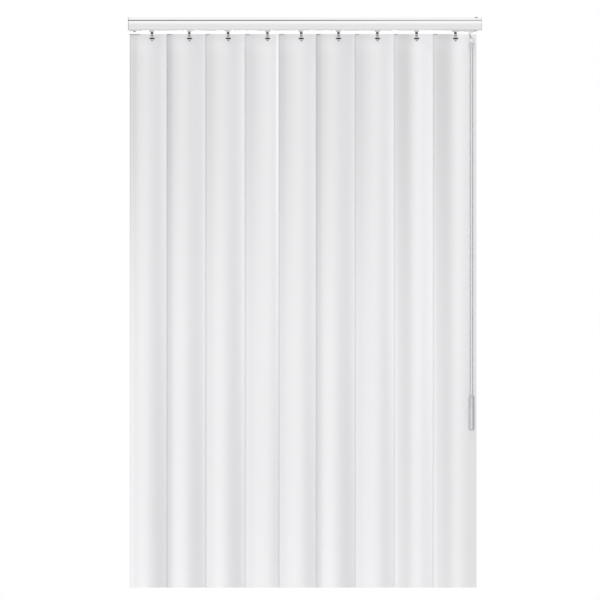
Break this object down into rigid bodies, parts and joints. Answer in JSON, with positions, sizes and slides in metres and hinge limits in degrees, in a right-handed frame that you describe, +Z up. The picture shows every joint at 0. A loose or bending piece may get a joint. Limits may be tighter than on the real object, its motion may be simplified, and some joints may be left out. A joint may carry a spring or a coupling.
{
  "type": "vertical blind",
  "caption": "Vertical blind: a ceiling headrail with curved white louvres that slide and turn together, and a hanging wand.",
  "frame": {"origin": "middle of the headrail's top face, on the plane that meets the ceiling", "axes": "+X along the rail to the right as seen from the room, -Y towards the room, +Z up"},
  "size_m": [0.7, 0.04, 1.129],
  "materials": {
    "painted_rail": "satin white paint",
    "cap_plastic": "moulded white",
    "dark_screw": "black zinc",
    "grey_plastic": "grey moulded",
    "bare_aluminium": "as extruded",
    "gear_plastic": "moulded acetal",
    "clear_plastic": "clear moulded",
    "grip_plastic": "translucent grey",
    "carrier_plastic": "moulded white acetal",
    "smoke_plastic": "smoky clear",
    "vane_pvc": "satin white",
    "spring_steel": "rolled strip"
  },
  "bodies": {
    "rail": {"headrail": "painted_rail", "end_cap_left": "cap_plastic", "end_cap_right": "cap_plastic", "top_screw": "dark_screw", "stack_stop": "grey_plastic", "stop_screw": "dark_screw"},
    "rod": {"tilt_rod": "bare_aluminium"},
    "carriage_1": {"carrier_1": "carrier_plastic", "spacer_1": "spring_steel"},
    "screw_1": {"worm_1": "gear_plastic"},
    "louvre_1": {"hanger_1": "smoke_plastic", "vane_1": "vane_pvc"},
    "carriage_2": {"carrier_2": "carrier_plastic", "spacer_2": "spring_steel"},
    "screw_2": {"worm_2": "gear_plastic"},
    "louvre_2": {"hanger_2": "smoke_plastic", "vane_2": "vane_pvc"},
    "carriage_3": {"carrier_3": "carrier_plastic", "spacer_3": "spring_steel"},
    "screw_3": {"worm_3": "gear_plastic"},
    "louvre_3": {"hanger_3": "smoke_plastic", "vane_3": "vane_pvc"},
    "carriage_4": {"carrier_4": "carrier_plastic", "spacer_4": "spring_steel"},
    "screw_4": {"worm_4": "gear_plastic"},
    "louvre_4": {"hanger_4": "smoke_plastic", "vane_4": "vane_pvc"},
    "carriage_5": {"carrier_5": "carrier_plastic", "spacer_5": "spring_steel"},
    "screw_5": {"worm_5": "gear_plastic"},
    "louvre_5": {"hanger_5": "smoke_plastic", "vane_5": "vane_pvc"},
    "carriage_6": {"carrier_6": "carrier_plastic", "spacer_6": "spring_steel"},
    "screw_6": {"worm_6": "gear_plastic"},
    "louvre_6": {"hanger_6": "smoke_plastic", "vane_6": "vane_pvc"},
    "carriage_7": {"carrier_7": "carrier_plastic", "spacer_7": "spring_steel"},
    "screw_7": {"worm_7": "gear_plastic"},
    "louvre_7": {"hanger_7": "smoke_plastic", "vane_7": "vane_pvc"},
    "carriage_8": {"carrier_8": "carrier_plastic", "spacer_8": "spring_steel"},
    "screw_8": {"worm_8": "gear_plastic"},
    "louvre_8": {"hanger_8": "smoke_plastic", "vane_8": "vane_pvc"},
    "carriage_9": {"carrier_9": "carrier_plastic"},
    "screw_9": {"worm_9": "gear_plastic", "drive_gear": "gear_plastic"},
    "louvre_9": {"hanger_9": "smoke_plastic", "vane_9": "vane_pvc"},
    "stem": {"wand_stem": "grey_plastic"},
    "wand": {"wand_cap": "clear_plastic", "wand_rod": "clear_plastic", "wand_grip": "grip_plastic"}
  },
  "joints": [
    {"name": "draw", "type": "slide", "parent": "rail", "child": "carriage_9", "axis": [1, 0, 0], "range_m": [-0.5196, 0]},
    {"name": "tilt", "type": "hinge", "parent": "carriage_9", "child": "louvre_9", "pos_m": [0.2976, 0, -0.0171], "axis": [0, 0, 1], "range_deg": [0, 150]},
    {"name": "wand_swing", "type": "hinge", "parent": "stem", "child": "wand", "pos_m": [0.3292, 0, -0.0445], "axis": [0, -1, 0], "range_deg": [0, 60]},
    {"name": "rod_turn", "type": "hinge", "parent": "rail", "child": "rod", "pos_m": [0, 0.01, -0.014], "axis": [1, 0, 0], "range_deg": [0, 1800]},
    {"name": "stem_turn", "type": "hinge", "parent": "carriage_9", "child": "stem", "pos_m": [0.3292, 0, -0.0171], "axis": [0, 0, 1], "range_deg": [0, 1800]},
    {"name": "draw_1", "type": "slide", "parent": "rail", "child": "carriage_1", "axis": [1, 0, 0], "range_m": [-0.0232, 0]},
    {"name": "tilt_1", "type": "hinge", "parent": "carriage_1", "child": "louvre_1", "pos_m": [-0.3028, 0, -0.0171], "axis": [0, 0, 1], "range_deg": [0, 150]},
    {"name": "screw_turn_1", "type": "hinge", "parent": "carriage_1", "child": "screw_1", "pos_m": [-0.3028, 0.01, -0.014], "axis": [1, 0, 0], "range_deg": [0, 1800]},
    {"name": "draw_2", "type": "slide", "parent": "rail", "child": "carriage_2", "axis": [1, 0, 0], "range_m": [-0.08405, 0]},
    {"name": "tilt_2", "type": "hinge", "parent": "carriage_2", "child": "louvre_2", "pos_m": [-0.22895, 0, -0.0171], "axis": [0, 0, 1], "range_deg": [0, 150]},
    {"name": "screw_turn_2", "type": "hinge", "parent": "carriage_2", "child": "screw_2", "pos_m": [-0.22895, 0.01, -0.014], "axis": [1, 0, 0], "range_deg": [0, 1800]},
    {"name": "draw_3", "type": "slide", "parent": "rail", "child": "carriage_3", "axis": [1, 0, 0], "range_m": [-0.1479, 0]},
    {"name": "tilt_3", "type": "hinge", "parent": "carriage_3", "child": "louvre_3", "pos_m": [-0.1521, 0, -0.0171], "axis": [0, 0, 1], "range_deg": [0, 150]},
    {"name": "screw_turn_3", "type": "hinge", "parent": "carriage_3", "child": "screw_3", "pos_m": [-0.1521, 0.01, -0.014], "axis": [1, 0, 0], "range_deg": [0, 1800]},
    {"name": "draw_4", "type": "slide", "parent": "rail", "child": "carriage_4", "axis": [1, 0, 0], "range_m": [-0.21265, 0]},
    {"name": "tilt_4", "type": "hinge", "parent": "carriage_4", "child": "louvre_4", "pos_m": [-0.07435, 0, -0.0171], "axis": [0, 0, 1], "range_deg": [0, 150]},
    {"name": "screw_turn_4", "type": "hinge", "parent": "carriage_4", "child": "screw_4", "pos_m": [-0.07435, 0.01, -0.014], "axis": [1, 0, 0], "range_deg": [0, 1800]},
    {"name": "draw_5", "type": "slide", "parent": "rail", "child": "carriage_5", "axis": [1, 0, 0], "range_m": [-0.2665, 0]},
    {"name": "tilt_5", "type": "hinge", "parent": "carriage_5", "child": "louvre_5", "pos_m": [-0.0075, 0, -0.0171], "axis": [0, 0, 1], "range_deg": [0, 150]},
    {"name": "screw_turn_5", "type": "hinge", "parent": "carriage_5", "child": "screw_5", "pos_m": [-0.0075, 0.01, -0.014], "axis": [1, 0, 0], "range_deg": [0, 1800]},
    {"name": "draw_6", "type": "slide", "parent": "rail", "child": "carriage_6", "axis": [1, 0, 0], "range_m": [-0.32715, 0]},
    {"name": "tilt_6", "type": "hinge", "parent": "carriage_6", "child": "louvre_6", "pos_m": [0.06615, 0, -0.0171], "axis": [0, 0, 1], "range_deg": [0, 150]},
    {"name": "screw_turn_6", "type": "hinge", "parent": "carriage_6", "child": "screw_6", "pos_m": [0.06615, 0.01, -0.014], "axis": [1, 0, 0], "range_deg": [0, 1800]},
    {"name": "draw_7", "type": "slide", "parent": "rail", "child": "carriage_7", "axis": [1, 0, 0], "range_m": [-0.3911, 0]},
    {"name": "tilt_7", "type": "hinge", "parent": "carriage_7", "child": "louvre_7", "pos_m": [0.1431, 0, -0.0171], "axis": [0, 0, 1], "range_deg": [0, 150]},
    {"name": "screw_turn_7", "type": "hinge", "parent": "carriage_7", "child": "screw_7", "pos_m": [0.1431, 0.01, -0.014], "axis": [1, 0, 0], "range_deg": [0, 1800]},
    {"name": "draw_8", "type": "slide", "parent": "rail", "child": "carriage_8", "axis": [1, 0, 0], "range_m": [-0.45565, 0]},
    {"name": "tilt_8", "type": "hinge", "parent": "carriage_8", "child": "louvre_8", "pos_m": [0.22065, 0, -0.0171], "axis": [0, 0, 1], "range_deg": [0, 150]},
    {"name": "screw_turn_8", "type": "hinge", "parent": "carriage_8", "child": "screw_8", "pos_m": [0.22065, 0.01, -0.014], "axis": [1, 0, 0], "range_deg": [0, 1800]},
    {"name": "screw_turn_9", "type": "hinge", "parent": "carriage_9", "child": "screw_9", "pos_m": [0.2976, 0.01, -0.014], "axis": [1, 0, 0], "range_deg": [0, 1800]}
  ],
  "couplings": [
    {"joint": "rod_turn", "follows": "tilt", "ratio": 12},
    {"joint": "stem_turn", "follows": "tilt", "ratio": 12},
    {"joint": "draw_1", "follows": "draw", "ratio": 0.04465},
    {"joint": "tilt_1", "follows": "tilt", "ratio": 1},
    {"joint": "screw_turn_1", "follows": "tilt", "ratio": 12},
    {"joint": "draw_2", "follows": "draw", "ratio": 0.16176},
    {"joint": "tilt_2", "follows": "tilt", "ratio": 1},
    {"joint": "screw_turn_2", "follows": "tilt", "ratio": 12},
    {"joint": "draw_3", "follows": "draw", "ratio": 0.28464},
    {"joint": "tilt_3", "follows": "tilt", "ratio": 1},
    {"joint": "screw_turn_3", "follows": "tilt", "ratio": 12},
    {"joint": "draw_4", "follows": "draw", "ratio": 0.40926},
    {"joint": "tilt_4", "follows": "tilt", "ratio": 1},
    {"joint": "screw_turn_4", "follows": "tilt", "ratio": 12},
    {"joint": "draw_5", "follows": "draw", "ratio": 0.51289},
    {"joint": "tilt_5", "follows": "tilt", "ratio": 1},
    {"joint": "screw_turn_5", "follows": "tilt", "ratio": 12},
    {"joint": "draw_6", "follows": "draw", "ratio": 0.62962},
    {"joint": "tilt_6", "follows": "tilt", "ratio": 1},
    {"joint": "screw_turn_6", "follows": "tilt", "ratio": 12},
    {"joint": "draw_7", "follows": "draw", "ratio": 0.75269},
    {"joint": "tilt_7", "follows": "tilt", "ratio": 1},
    {"joint": "screw_turn_7", "follows": "tilt", "ratio": 12},
    {"joint": "draw_8", "follows": "draw", "ratio": 0.87692},
    {"joint": "tilt_8", "follows": "tilt", "ratio": 1},
    {"joint": "screw_turn_8", "follows": "tilt", "ratio": 12},
    {"joint": "screw_turn_9", "follows": "tilt", "ratio": 12}
  ]
}
